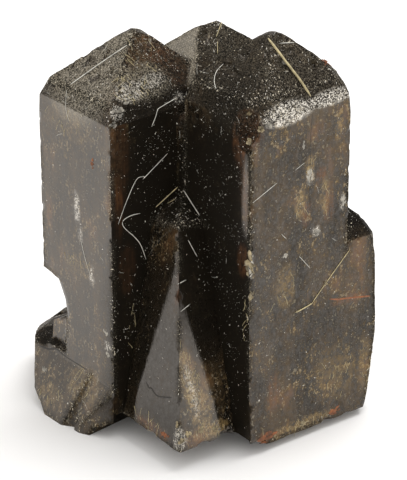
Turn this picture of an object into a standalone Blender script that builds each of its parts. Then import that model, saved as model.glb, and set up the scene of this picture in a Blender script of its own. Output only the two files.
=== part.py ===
"""A cluster of rutile crystals that grew into one another, standing on its broken foot.

Six square prisms with low pyramid caps overlap and are joined in one solid, with a seventh,
hidden one where the two tall crystals merged in the corner between them. Lengths are in
millimetres up to the point where an object is made, and in metres in the scene. The origin
is on the flat foot, under the middle of the cluster, with +Z up.
"""
import math
import random
from dataclasses import dataclass

import bmesh
import bpy
from mathutils import Matrix, Vector

MM = 0.001

# Heading of the right-facing prism sides, seen from above, in degrees from +X
TURN = 39.2

# Slope of a pyramid face on the rutile prism, in degrees from level
PYRAMID_SLOPE = 42.3

# How far the foot is cut off below the lowest corner of the front crystal
FOOT_CUT = 1.2

# Colour of the dark brown crystal, its roughness and its refraction
CRYSTAL_COLOUR = (0.035, 0.022, 0.013, 1.0)
CRYSTAL_ROUGHNESS = 0.22
RUTILE_IOR = 2.6


@dataclass
class Crystal:
    """A square prism with a steep shoulder and a pyramid cap, in its own upright frame.

    Its frame starts at the foot of its front edge: X runs along the right-facing side, Y
    along the left-facing side and Z up the front edge. Wear planes cut off what stands
    beyond them, each given by its outward direction and its depth below the outermost corner.
    Cuts are planes in the cluster's frame, each a point and an outward direction.
    """
    name: str
    foot: tuple
    along: float
    across: float
    prism: float
    shoulder_in: float = 0.25
    shoulder_up: float = 0.5
    slopes: tuple = (PYRAMID_SLOPE,) * 4
    turn: float = TURN
    lean: float = 0.0
    lean_heading: float = 90.0
    wear: tuple = ()
    cuts: tuple = ()

    def frame(self):
        """Matrix from the crystal's own frame to the cluster's, in millimetres."""
        heading = math.radians(self.lean_heading)
        lean_axis = Vector((-math.sin(heading), math.cos(heading), 0.0))
        leaning = Matrix.Rotation(math.radians(self.lean), 4, lean_axis)
        turning = Matrix.Rotation(math.radians(self.turn), 4, "Z")
        return Matrix.Translation((*self.foot, 0.0)) @ leaning @ turning

    def place(self, along, across, up):
        """A point of the crystal's own frame, in the cluster's frame."""
        return self.frame() @ Vector((along, across, up))


LEFT_CRYSTAL = Crystal(
    "left_crystal", foot=(-4.79, -2.62), along=7.56, across=6.17, prism=18.28,
    shoulder_in=0.33, shoulder_up=0.84, slopes=(37.0, 45.0, 42.5, 47.0),
    wear=(
        ((0.0, 0.0, 1.0), 0.2), ((0.32, -0.3, 0.9), 0.14), ((-0.3, 0.3, 0.9), 0.1),
        ((-0.45, -0.42, 0.79), 0.07), ((-0.62, 0.62, 0.48), 0.1), ((0.6, 0.62, 0.5), 0.15),
        ((-0.7, -0.7, 0.12), 0.07), ((-0.7, 0.7, 0.05), 0.05), ((0.3, 0.35, 0.89), 0.12),
    ))
RIGHT_CRYSTAL = Crystal(
    "right_crystal", foot=(2.38, -4.6), along=6.79, across=5.32, prism=18.99,
    shoulder_in=0.24, shoulder_up=1.3, slopes=(36.0, 45.0, 43.0, 48.0),
    wear=(
        ((0.0, 0.0, 1.0), 0.26), ((0.55, -0.55, 0.63), 0.36), ((-0.3, 0.3, 0.9), 0.1),
        ((-0.42, -0.42, 0.8), 0.1), ((-0.6, 0.6, 0.52), 0.34), ((0.3, -0.28, 0.91), 0.1),
        ((0.7, -0.7, 0.1), 0.08), ((0.35, 0.3, 0.88), 0.16), ((0.62, 0.6, 0.5), 0.2),
    ))
BACK_CRYSTAL = Crystal(
    "back_crystal", foot=(-0.54, 0.3), along=7.0, across=5.3, prism=18.5,
    shoulder_in=0.3, shoulder_up=0.7, slopes=(42.3, 42.3, 36.0, 44.0),
    wear=(
        ((0.0, 0.0, 1.0), 0.08), ((0.6, 0.6, 0.52), 0.3), ((-0.6, 0.62, 0.5), 0.2),
        ((0.7, 0.7, 0.1), 0.15), ((0.0, 0.45, 0.89), 0.09),
    ))
LOW_CRYSTAL = Crystal(
    "low_crystal", foot=(-1.28, -6.68), along=5.4, across=5.9, prism=13.37,
    shoulder_in=0.08, shoulder_up=0.16, lean=17.7, lean_heading=90.0,
    wear=(((-0.7, -0.7, 0.14), 0.06), ((-0.45, -0.45, 0.77), 0.05)))
RIGHT_STUB = Crystal(
    "right_stub", foot=(2.5, -4.75), along=8.75, across=4.9, prism=10.7,
    shoulder_in=0.3, shoulder_up=0.75, turn=37.25, lean=2.35, lean_heading=129.2,
    wear=(
        ((0.6, -0.55, 0.58), 0.25), ((0.0, 0.0, 1.0), 0.3), ((0.7, -0.7, 0.1), 0.13),
        ((0.62, 0.6, 0.5), 0.35), ((0.1, 0.7, 0.7), 0.3),
    ),
    cuts=(((9.2, 0.6, 3.6), (1.0, 0.0, -0.1)), ((8.94, 0.5, 1.05), (0.95, 0.0, -0.3)),
          ((8.72, 0.5, 0.3), (0.7, -0.1, -0.7))))
LEFT_STUB = Crystal(
    "left_stub", foot=(-7.14, -1.96), along=5.4, across=8.2, prism=3.5,
    shoulder_in=0.5, shoulder_up=0.5, slopes=(34.0, 40.0, 40.0, 52.0),
    lean=23.6, lean_heading=39.2,
    cuts=(((-9.35, 2.4, 2.4), (-1.0, 0.0, 0.0)), ((-9.1, 0.8, 0.55), (-0.83, 0.0, -0.56)),
          ((-9.0, 2.6, 3.9), (-0.6, 0.3, 0.74)), ((-6.05, -1.07, 3.2), (-0.29, -0.94, 0.19))))
INNER_CORNER = Crystal(
    "inner_corner", foot=(2.384, -4.558), along=6.5, across=6.3, prism=17.3,
    shoulder_in=0.3, shoulder_up=0.6, slopes=(52.0, 50.0, 50.0, 50.0))
CRYSTALS = (LEFT_CRYSTAL, RIGHT_CRYSTAL, BACK_CRYSTAL, LOW_CRYSTAL, RIGHT_STUB, LEFT_STUB, INNER_CORNER)

# Depth to which a crystal's prism runs below the foot before the foot is cut flat
ROOT_DEPTH = 6.0

# Seed of the bites out of the foot's rim
FOOT_SEED = 71

# Smallest and largest half-width and half-height of a bite out of the foot's rim, and how
# far its middle lies below the rim
BITE_WIDTH = (0.45, 0.8)
BITE_HEIGHT = (0.3, 0.55)
BITE_DROP = 0.1

# Smallest and largest half-length of a scoop in a cap, how far its middle floats above the
# cap as a share of that, and how far its floor lies below the cap
SCOOP_REACH = (0.5, 1.0)
SCOOP_LIFT = 0.75
SCOOP_DEPTH = 0.05

# How far a growth plate stands out of the side it grew on
PLATE_THICKNESS = 0.07

# Faces whose directions differ by less than this, in degrees, are one flat face
FLAT_ANGLE = 0.6

# Points closer than this, in millimetres, are one
MERGE_DISTANCE = 0.008


def clear_scene():
    """Remove every object that is in the scene."""
    for item in list(bpy.data.objects):
        bpy.data.objects.remove(item, do_unlink=True)


def slice_off(mesh, point, outward):
    """Cut a convex mesh by a plane, drop what lies beyond it and close the cut."""
    everything = mesh.verts[:] + mesh.edges[:] + mesh.faces[:]
    cut = bmesh.ops.bisect_plane(
        mesh, geom=everything, plane_co=point, plane_no=outward, clear_outer=True)
    rim = [item for item in cut["geom_cut"] if isinstance(item, bmesh.types.BMEdge)]
    if rim:
        bmesh.ops.edgeloop_fill(mesh, edges=rim)


def wear_down(mesh, outward, depth):
    """Cut a convex mesh at the given depth below its outermost corner in one direction."""
    outward = Vector(outward).normalized()
    reach = max(corner.co.dot(outward) for corner in mesh.verts)
    slice_off(mesh, outward * (reach - depth), outward)


def crystal_mesh(crystal):
    """Cut one crystal out of a block: four sides are the block's, then shoulders and cap."""
    mesh = bmesh.new()
    bmesh.ops.create_cube(mesh, size=1.0)
    height = 2 * crystal.prism + 2 * ROOT_DEPTH
    bmesh.ops.scale(mesh, vec=(crystal.along, crystal.across, height), verts=mesh.verts)
    middle = (crystal.along / 2, crystal.across / 2, height / 2 - ROOT_DEPTH)
    bmesh.ops.translate(mesh, vec=middle, verts=mesh.verts)
    sides = (
        (Vector((-1, 0, 0)), Vector((0, 0, 0))),
        (Vector((0, -1, 0)), Vector((0, 0, 0))),
        (Vector((1, 0, 0)), Vector((crystal.along, 0, 0))),
        (Vector((0, 1, 0)), Vector((0, crystal.across, 0))),
    )
    for (outward, corner), slope in zip(sides, crystal.slopes):
        prism_top = corner + Vector((0, 0, crystal.prism))
        shoulder_out = outward * crystal.shoulder_up + Vector((0, 0, crystal.shoulder_in))
        slice_off(mesh, prism_top, shoulder_out.normalized())
        cap_foot = prism_top - outward * crystal.shoulder_in + Vector((0, 0, crystal.shoulder_up))
        rise = math.radians(slope)
        slice_off(mesh, cap_foot, outward * math.sin(rise) + Vector((0, 0, math.cos(rise))))
    for outward, depth in crystal.wear:
        wear_down(mesh, outward, depth)
    mesh.transform(crystal.frame())
    for point, outward in crystal.cuts:
        slice_off(mesh, Vector(point), Vector(outward).normalized())
    return mesh


def hull_mesh(points):
    """The convex solid around a few points."""
    mesh = bmesh.new()
    for point in points:
        mesh.verts.new(point)
    bmesh.ops.convex_hull(mesh, input=mesh.verts[:])
    inside = [corner for corner in mesh.verts if not corner.link_faces]
    bmesh.ops.delete(mesh, geom=inside, context="VERTS")
    return mesh


def chip_mesh(centre, reach, turn=0.0, seed=1):
    """An irregular stone-like cutter with flat facets, like the hollow that a chip leaves."""
    luck = random.Random(seed)
    ball = bmesh.new()
    bmesh.ops.create_icosphere(ball, subdivisions=1, radius=1.0)
    corners = [corner.co * (1.0 + luck.uniform(-0.18, 0.18)) for corner in ball.verts]
    ball.free()
    mesh = hull_mesh(corners)
    spin = Matrix.Rotation(math.radians(turn), 4, "Z")
    mesh.transform(Matrix.Translation(centre) @ spin @ Matrix.Diagonal((*reach, 1.0)))
    return mesh


def solid_object(mesh, name):
    """An object made of a mesh, which is used up."""
    bmesh.ops.recalc_face_normals(mesh, faces=mesh.faces)
    data = bpy.data.meshes.new(name)
    mesh.to_mesh(data)
    mesh.free()
    item = bpy.data.objects.new(name, data)
    bpy.context.scene.collection.objects.link(item)
    return item


def combine(body, mesh, operation):
    """Join a mesh to the body object, or cut it out of it, and keep the result."""
    operand = solid_object(mesh, "operand")
    modifier = body.modifiers.new("combine", "BOOLEAN")
    modifier.operation = operation
    modifier.object = operand
    modifier.solver = "EXACT"
    evaluated = body.evaluated_get(bpy.context.evaluated_depsgraph_get())
    result = bpy.data.meshes.new_from_object(evaluated)
    body.modifiers.remove(modifier)
    bpy.data.objects.remove(operand, do_unlink=True)
    body.data = result


def foot_cutters():
    """What is missing below: the flat cut, and the hollow broken out under the front."""
    flat_cut = hull_mesh([(x, y, z) for x in (-15, 15) for y in (-15, 15) for z in (-10, 0)])
    front_hollow = hull_mesh((
        (-1.2, -7.1, FOOT_CUT), (-5.0, -2.0, FOOT_CUT + 0.25), (2.9, -4.3, FOOT_CUT - 0.2),
        (-2.6, -1.6, FOOT_CUT - 0.1), (1.0, -2.4, FOOT_CUT - 0.35),
        (-1.2, -9.0, -1.0), (-7.4, -2.9, -1.0), (5.2, -4.4, -1.0), (-3.6, 0.8, -1.0), (2.2, 0.0, -1.0),
    ))
    side_hollow = hull_mesh([
        RIGHT_STUB.place(along, across, up) for along in (0.3, 8.9)
        for across, up in ((-1.2, 0.85), (1.6, -0.1), (-1.2, -1.0), (1.6, -1.0))
    ])
    return [flat_cut, front_hollow, side_hollow]


def left_root():
    """The swelling that joins the left stub's toe to the foot of the left crystal's front edge."""
    toe = (-7.12, -1.88, -1.0)
    front = (-4.88, -2.93, 0.35)
    upper = LEFT_CRYSTAL.place(0.04, 0.04, 3.0)
    crack = LEFT_CRYSTAL.place(0.04, 2.0, 3.15)
    inside = [LEFT_CRYSTAL.place(1.2, across, up) for across in (0.6, 3.2) for up in (-1.0, 2.6)]
    return hull_mesh([toe, (toe[0], toe[1], 0.02), front, (*front[:2], -1.0), upper, crack, *inside])


def left_side_breaks():
    """The stepped gap where the left crystal's outer corner is broken away above the stub.

    Its inner wall runs straight back as the front view sees it, from the side's edge at
    `across`, so each step shows in outline.
    """
    def wall(across, along, up):
        return LEFT_CRYSTAL.place(along, across + along * math.tan(math.radians(90 - TURN)), up)

    def outside(across, along, up):
        return LEFT_CRYSTAL.place(along, across, up)

    upper_step = hull_mesh((
        wall(4.65, -1, 7.6), wall(4.65, 3, 7.4), wall(4.4, -1, 6.3), wall(4.5, 3, 5.8),
        outside(9, -1, 8.6), outside(9, 3, 8.3),
        outside(9, -1, 2.9), outside(9, 3, 2.9), outside(6.1, -1, 4.9), outside(6.6, 3, 4.4),
    ))
    lower_step = hull_mesh((
        wall(4.15, -1, 6.2), wall(4.3, 0.7, 6.1), wall(4.25, -1, 3.3), wall(4.3, 0.5, 3.5),
        outside(9, -1, 6.9), outside(9, 0.7, 6.8), outside(9, -1, 3.3), outside(9, 0.4, 3.5),
    ))
    return [upper_step, lower_step]


def large_breaks():
    """The breaks that show from a step away, each as a stone-like cutter on a crystal."""
    breaks = (
        (RIGHT_CRYSTAL, (-0.15, 0.35, 19.1), (0.85, 1.15, 1.25), 3),
        (RIGHT_CRYSTAL, (-0.3, 0.45, 18.1), (0.5, 0.7, 0.7), 8),
        (RIGHT_CRYSTAL, (-0.16, -0.16, 11.6), (0.34, 0.34, 0.7), 11),
        (LEFT_CRYSTAL, (-0.3, -0.3, 18.7), (0.62, 0.62, 0.7), 5),
        (LEFT_CRYSTAL, (-0.3, -0.3, 4.6), (0.5, 0.4, 1.2), 14),
        (LEFT_CRYSTAL, (-1.5, 1.95, 0.3), (0.55, 0.5, 0.75), 31),
        (LEFT_CRYSTAL, (7.4, 6.3, 3.0), (1.5, 1.2, 3.4), 37),
        (BACK_CRYSTAL, (6.4, 5.4, 1.2), (1.8, 2.0, 2.4), 41),
        (RIGHT_STUB, (8.9, 5.1, 6.0), (1.3, 1.5, 5.2), 47),
        (LOW_CRYSTAL, (-0.2, -0.2, 1.1), (0.6, 0.6, 0.42), 53),
    )
    cutters = []
    for crystal, spot, reach, seed in breaks:
        cutters.append(chip_mesh(crystal.place(*spot), reach, crystal.turn, seed))
    return cutters


def edge_chips(crystal, corner, lowest, highest, count, size, seed):
    """Small chips scattered up one upright edge of a crystal."""
    luck = random.Random(seed)
    chips = []
    for number in range(count):
        share = (number + luck.uniform(0.15, 0.85)) / count
        up = lowest + (highest - lowest) * share
        reach = size * luck.uniform(0.6, 1.3)
        outside = 0.45 * reach
        along = corner[0] + (outside if corner[0] > 0 else -outside)
        across = corner[1] + (outside if corner[1] > 0 else -outside)
        chip_reach = (reach, reach, reach * luck.uniform(1.0, 2.2))
        centre = crystal.place(along, across, up)
        chips.append(chip_mesh(centre, chip_reach, luck.uniform(0, 90), seed + number))
    return chips


def worn_edges():
    """The chips up the upright edges that stand free."""
    left_corner = (0.0, LEFT_CRYSTAL.across)
    right_corner = (RIGHT_CRYSTAL.along, 0.0)
    return (
        edge_chips(LEFT_CRYSTAL, (0.0, 0.0), lowest=2.0, highest=18.0, count=9, size=0.2, seed=101)
        + edge_chips(LEFT_CRYSTAL, left_corner, lowest=9.0, highest=18.0, count=5, size=0.22, seed=131)
        + edge_chips(RIGHT_CRYSTAL, (0.0, 0.0), lowest=2.0, highest=16.5, count=8, size=0.17, seed=161)
        + edge_chips(RIGHT_CRYSTAL, right_corner, lowest=11.0, highest=18.6, count=5, size=0.18, seed=191)
        + edge_chips(LOW_CRYSTAL, (0.0, 0.0), lowest=2.2, highest=13.0, count=8, size=0.2, seed=211)
    )


def foot_chips():
    """Shallow bites out of the rim of the broken foot."""
    luck = random.Random(FOOT_SEED)
    spots = (
        (RIGHT_STUB, 1.3, -0.1, 0.25), (RIGHT_STUB, 2.6, -0.15, 0.3), (RIGHT_STUB, 4.0, -0.1, 0.3),
        (RIGHT_STUB, 5.3, -0.15, 0.35), (RIGHT_STUB, 6.7, -0.1, 0.35), (RIGHT_STUB, 8.7, 2.4, 0.0),
        (BACK_CRYSTAL, 7.1, 2.2, 0.0), (BACK_CRYSTAL, 4.2, 5.4, 0.0), (BACK_CRYSTAL, 1.8, 5.4, 0.0),
        (LEFT_CRYSTAL, 4.6, 6.3, 0.0), (LOW_CRYSTAL, -0.1, 2.4, FOOT_CUT),
        (LOW_CRYSTAL, -0.1, 4.3, FOOT_CUT), (LOW_CRYSTAL, 1.7, -0.1, FOOT_CUT),
        (LOW_CRYSTAL, 3.2, -0.1, FOOT_CUT),
    )
    chips = []
    for number, (crystal, along, across, up) in enumerate(spots):
        centre = crystal.place(along, across, up)
        centre.z = up - BITE_DROP
        reach = (luck.uniform(*BITE_WIDTH), luck.uniform(*BITE_WIDTH), luck.uniform(*BITE_HEIGHT))
        chips.append(chip_mesh(centre, reach, luck.uniform(0, 90), FOOT_SEED + number))
    return chips


def cap_pits(crystal, sides, count, seed):
    """Shallow scoops scattered over the cap's faces that look towards the given sides."""
    luck = random.Random(seed)
    pits = []
    for number in range(count):
        side = sides[number % len(sides)]
        width, length = (
            (crystal.across, crystal.along) if side in (0, 2) else (crystal.along, crystal.across))
        inwards = luck.uniform(0.05, 0.32)
        lateral = width * (0.5 + luck.uniform(-0.4, 0.4) * (1.0 - 2.0 * inwards))
        inset = crystal.shoulder_in + inwards * length
        climb = inwards * length * math.tan(math.radians(crystal.slopes[side]))
        along, across = {
            0: (inset, lateral), 1: (lateral, inset),
            2: (crystal.along - inset, lateral), 3: (lateral, crystal.across - inset),
        }[side]
        reach = luck.uniform(*SCOOP_REACH)
        lift = reach * SCOOP_LIFT
        up = crystal.prism + crystal.shoulder_up + climb + lift
        size = (reach, reach * luck.uniform(0.5, 0.9), lift + SCOOP_DEPTH)
        pits.append(chip_mesh(crystal.place(along, across, up), size, luck.uniform(0, 90), seed + number))
    return pits


def pitted_caps():
    """The scoops in the three caps, on the faces that stand free."""
    return (
        cap_pits(LEFT_CRYSTAL, sides=(0, 1, 0, 3), count=14, seed=301)
        + cap_pits(RIGHT_CRYSTAL, sides=(0, 1, 1, 2), count=14, seed=359)
        + cap_pits(BACK_CRYSTAL, sides=(1, 2, 3), count=7, seed=381)
    )


def growth_plate(crystal, side, start, end, low, high):
    """A thin plate that grew on one prism side, from start to end along it, with a slanted top."""
    def spot(lateral, out, up):
        along, across = {
            0: (-out, lateral), 1: (lateral, -out),
            2: (crystal.along + out, lateral), 3: (lateral, crystal.across + out),
        }[side]
        return crystal.place(along, across, up)

    slant = 0.6 * (end - start)
    return hull_mesh([
        spot(lateral, out, up)
        for out, shrink in ((-0.4, 0.0), (PLATE_THICKNESS, 0.1))
        for lateral, up in (
            (start + shrink, low + shrink), (end - shrink, low + shrink),
            (start + shrink, high - slant - shrink), (end - shrink, high - shrink),
        )
    ])


def growth_plates():
    """The plates that step the crystals' sides, most of them behind."""
    return [
        growth_plate(LEFT_CRYSTAL, 3, 0.8, 3.3, 4.5, 17.2),
        growth_plate(LEFT_CRYSTAL, 3, 4.3, 6.6, 7.0, 15.4),
        growth_plate(LEFT_CRYSTAL, 2, 3.6, 5.6, 5.5, 16.6),
        growth_plate(BACK_CRYSTAL, 2, 1.0, 2.6, 3.2, 16.4),
        growth_plate(BACK_CRYSTAL, 2, 3.2, 4.6, 5.0, 14.0),
        growth_plate(BACK_CRYSTAL, 3, 2.2, 4.9, 4.0, 17.0),
        growth_plate(RIGHT_STUB, 2, 1.6, 3.4, 2.0, 8.8),
    ]


def crystal_material():
    """Dark brown, glassy and strongly reflecting."""
    material = bpy.data.materials.new("dark_rutile")
    material.use_nodes = True
    shader = material.node_tree.nodes["Principled BSDF"]
    shader.inputs["Base Color"].default_value = CRYSTAL_COLOUR
    shader.inputs["Roughness"].default_value = CRYSTAL_ROUGHNESS
    shader.inputs["Metallic"].default_value = 0.0
    shader.inputs["IOR"].default_value = RUTILE_IOR
    return material


def finish_mesh(body):
    """Merge the points that the cuts left on one another, and turn millimetres into metres."""
    mesh = bmesh.new()
    mesh.from_mesh(body.data)
    bmesh.ops.remove_doubles(mesh, verts=mesh.verts, dist=MERGE_DISTANCE)
    bmesh.ops.dissolve_degenerate(mesh, dist=MERGE_DISTANCE, edges=mesh.edges)
    bmesh.ops.dissolve_limit(
        mesh, angle_limit=math.radians(FLAT_ANGLE), verts=mesh.verts, edges=mesh.edges)
    bmesh.ops.triangulate(mesh, faces=mesh.faces)
    bmesh.ops.scale(mesh, vec=(MM, MM, MM), verts=mesh.verts)
    mesh.to_mesh(body.data)
    mesh.free()


def build_cluster():
    """Grow the crystals together, then break away what is missing."""
    body = solid_object(crystal_mesh(LEFT_CRYSTAL), "crystal_cluster")
    for crystal in CRYSTALS[1:]:
        combine(body, crystal_mesh(crystal), "UNION")
    for growth in [left_root(), *growth_plates()]:
        combine(body, growth, "UNION")
    breaks = foot_cutters() + left_side_breaks() + large_breaks() + foot_chips()
    breaks += worn_edges() + pitted_caps()
    for mesh in breaks:
        combine(body, mesh, "DIFFERENCE")
    finish_mesh(body)
    body.data.name = body.name
    body.data.materials.clear()
    body.data.materials.append(crystal_material())
    return body


clear_scene()
build_cluster()
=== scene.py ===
"""A cluster of dark rutile crystals with its dust, grains and fibres, on a pale floor.

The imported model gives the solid. The crystals' skin is a finer copy of it with growth steps,
etched caps and worn edges, and everything that clings to the skin is mesh of its own. Lengths
in the lists are millimetres in the cluster's frame: +Z is up, and -Y is the side of the low
crystal.
"""

import math
import random
from dataclasses import dataclass

import bmesh
import bpy
import numpy as np
from bpy.props import FloatProperty, FloatVectorProperty, IntProperty, PointerProperty
from bpy.types import Operator, Panel, PropertyGroup
from mathutils import Matrix, Vector, noise
from mathutils.bvhtree import BVHTree
from mathutils.kdtree import KDTree


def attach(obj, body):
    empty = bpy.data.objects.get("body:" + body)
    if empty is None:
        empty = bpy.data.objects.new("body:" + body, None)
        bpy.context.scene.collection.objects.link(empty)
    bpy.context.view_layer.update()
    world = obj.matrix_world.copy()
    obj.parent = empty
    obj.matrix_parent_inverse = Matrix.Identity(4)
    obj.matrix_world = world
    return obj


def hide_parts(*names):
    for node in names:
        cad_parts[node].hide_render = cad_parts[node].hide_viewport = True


bl_info = {
    "name": "Rutile crystal cluster",
    "version": (1, 0, 0),
    "blender": (4, 5, 0),
    "location": "3D View > Sidebar > Crystals",
    "description": "Dresses a cluster of rutile crystals with its skin, dust, grains and fibres",
    "category": "Object",
}

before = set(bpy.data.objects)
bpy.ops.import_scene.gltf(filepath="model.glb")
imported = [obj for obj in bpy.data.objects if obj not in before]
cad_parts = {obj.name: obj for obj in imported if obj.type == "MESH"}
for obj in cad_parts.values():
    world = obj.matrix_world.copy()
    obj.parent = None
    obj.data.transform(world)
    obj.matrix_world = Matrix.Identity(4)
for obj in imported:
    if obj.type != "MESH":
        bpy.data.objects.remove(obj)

MM = 0.001
NODE = "crystal_cluster"
BODY = "root"

# Heading of the right-facing prism sides, seen from above, in degrees from +X
TURN = 39.2
ALONG = Vector((math.cos(math.radians(TURN)), math.sin(math.radians(TURN)), 0.0))
ACROSS = Vector((-math.sin(math.radians(TURN)), math.cos(math.radians(TURN)), 0.0))

# The direction that each kind of face looks in
FACING = {
    "left": -ALONG,
    "right": -ACROSS,
    "back right": ALONG,
    "back left": ACROSS,
    "up": Vector((0.0, 0.0, 1.0)),
}

# A face is a cap above this slope of its normal, and a shoulder band down to the next one
CAP_LIFT = 0.5
BAND_LIFT = 0.1

# Above this height a slightly tilted face is a shoulder band and not a leaning prism side
BAND_HEIGHT = 17.2

# The right stub has its own band between these heights, beyond this place on X
STUB_BAND_HEIGHTS = (10.0, 11.6)
STUB_BAND_START = 7.0

# How dull each kind of prism side is made. Dulling darkens a side, and the right-facing sides are
# dulled most: painted shade on that side
SIDE_DULLING = {"right": 0.62, "left": 0.12, "back right": 0.3, "back left": 0.15}

# How far a patch reaches in and out of its face, on the leaning caps and below them
CAP_PATCH_DEPTH = 2.5
SIDE_PATCH_DEPTH = 1.2
PATCH_DEPTH_FADE = 0.6

# Faces that meet at a smaller angle than this are one face
ONE_FACE = math.radians(2)

# An edge that bends by more than this shades sharply, and wears where it is long enough
SHARP_EDGE = math.radians(24)
WORN_LENGTH = 1.1

# How far the wear reaches into the faces, and how deep it goes
WEAR_REACH = 0.3
WEAR_DEPTH = 0.05

# Depths of the sides' growth steps and ripples, and of the caps' etching, lumps and pits
LEDGE_DEPTH = 0.009
RIPPLE_DEPTH = 0.004
ETCHING_DEPTH = 0.015
LUMP_DEPTH = 0.02
PIT_DEPTH = 0.06

# Edges of faces narrower than this are the crisp steps of growth plates, and don't wear
PLATE_STEP = 0.12

# Distance between the points that stand for an edge or a fibre
STRIDE = 0.12

# The prism sides are flatter than the caps, and their mesh is this much coarser
SIDE_COARSENESS = 1.75

# Points below this lie on the flat foot, and stay there
FOOT_HEIGHT = 0.02

# Rounds in which edges of the skin that are too long are halved
SPLIT_ROUNDS = 9

# The etched skin hardly reflects, and even where it is thickest some gloss shows
ETCHED_REFRACTION = 1.12
ETCHED_ROUGHNESS = 0.6
MOST_DULL = 0.97

# Threads, dust and chips reflect as most things do, and the floor's paper less
PLAIN_REFRACTION = 1.5
PAPER_REFRACTION = 1.3

# Shortest and longest hairs and needles, and their thickness
HAIR_LENGTHS = (0.15, 0.75)
HAIR_THICKNESS = 0.006
NEEDLE_LENGTHS = (0.12, 0.8)
NEEDLE_THICKNESS = 0.01

# A needle may lean this far from the upright, in radians
NEEDLE_SWING = 0.7

# A fibre that crosses a dent is lifted by up to this
MOST_LIFT = 0.25

# Chips that crowd in one flake
CHIPS_IN_FLAKE = 14

# Place of the soft lamp and the point that it shines at, in metres
LAMP_PLACE = (0.07, 0.04, 0.25)
LAMP_AIM = (0.0, 0.0, 0.01)


@dataclass
class Patch:
    """A soft-edged oval of one finish, or of painted light or shade, on the faces that look one
    way.
    """
    facing: str
    finish: str
    centre: tuple
    size: tuple
    strength: float


# Finishes that the skin carries as attributes, each from 0 to 1. Some of them paint light: shade in
# the corners, on the stubs' tops and on the right-facing sides, sheen and glints on the caps, and
# the glow of thin edges
FINISHES = ("cap", "band", "dark", "etch", "clean", "pale", "frost", "ochre", "ember", "soot")

# Patches by the way their faces look: finish, middle, half-width and half-height, and strength
LEFT_PATCHES = (
    # Left crystal
    ("clean", (-7.0, 0.2, 12.0), (5.0, 9.0), 0.35),
    ("ochre", (-6.9, 0.0, 17.3), (2.6, 1.0), 0.25),
    ("frost", (-6.7, -0.3, 12.7), (0.3, 1.05), 0.6),
    ("frost", (-6.5, -0.5, 11.2), (0.2, 0.6), 0.4),
    ("frost", (-5.9, -1.2, 9.2), (0.08, 0.7), 0.7),
    ("frost", (-5.1, -2.2, 5.4), (0.3, 0.3), 0.6),
    ("ember", (-5.75, -1.43, 15.7), (0.16, 0.32), 1.0),
    ("ember", (-8.3, 1.6, 11.5), (0.4, 1.2), 0.5),
    ("ochre", (-6.6, -0.4, 9.3), (1.6, 0.9), 0.3),
    # This ochre patch is also painted light: it lifts the shade in the corner by the left stub
    ("ochre", (-6.2, -0.9, 2.4), (1.8, 1.2), 0.3),
    # Left crystal, cap
    # A painted sheen with glints on this cap, over its pale etch marks
    ("pale", (-6.0, 0.6, 20.0), (3.4, 3.0), 0.75),
    # Right crystal
    ("ember", (1.8, -3.9, 18.0), (0.7, 1.7), 0.8),
    ("ember", (2.0, -4.2, 15.6), (0.45, 1.6), 0.45),
    ("ember", (2.0, -4.2, 11.5), (0.6, 1.3), 0.9),
    ("ochre", (2.2, -4.4, 8.2), (0.35, 1.6), 0.6),
    # Painted shade in the notch between the two tall crystals, taken away again on a strip by the
    # front edge
    ("dark", (1.0, -3.0, 8.5), (3.9, 15.5), 1.0),
    ("dark", (2.2, -4.3, 15.0), (0.35, 2.8), -0.8),
    # Right crystal, band and cap
    ("pale", (2.0, -2.0, 21.0), (3.5, 3.0), 0.12),
    ("dark", (1.5, -2.2, 20.8), (3.4, 2.4), 0.4),
    # Low crystal
    ("ochre", (-2.8, -4.0, 1.8), (1.8, 0.6), 0.35),
    ("ember", (-2.6, -4.3, 1.6), (2.0, 0.5), 0.8),
    ("ember", (-1.4, -3.7, 9.6), (0.4, 1.4), 0.5),
    ("clean", (-2.4, -4.0, 5.5), (4.5, 9.0), 1.0),
    ("etch", (-2.4, -4.0, 5.5), (4.5, 9.0), 0.2),
    # Left stub
    ("ochre", (-8.1, 0.8, 1.0), (1.4, 0.8), 0.3),
    # Back crystal
    # This cap is made less rough and paler: a painted sheen
    ("cap", (-1.0, 3.0, 21.0), (3.4, 3.0), -0.75),
    ("pale", (-1.0, 3.0, 21.0), (3.4, 3.0), 0.85),
)
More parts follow.
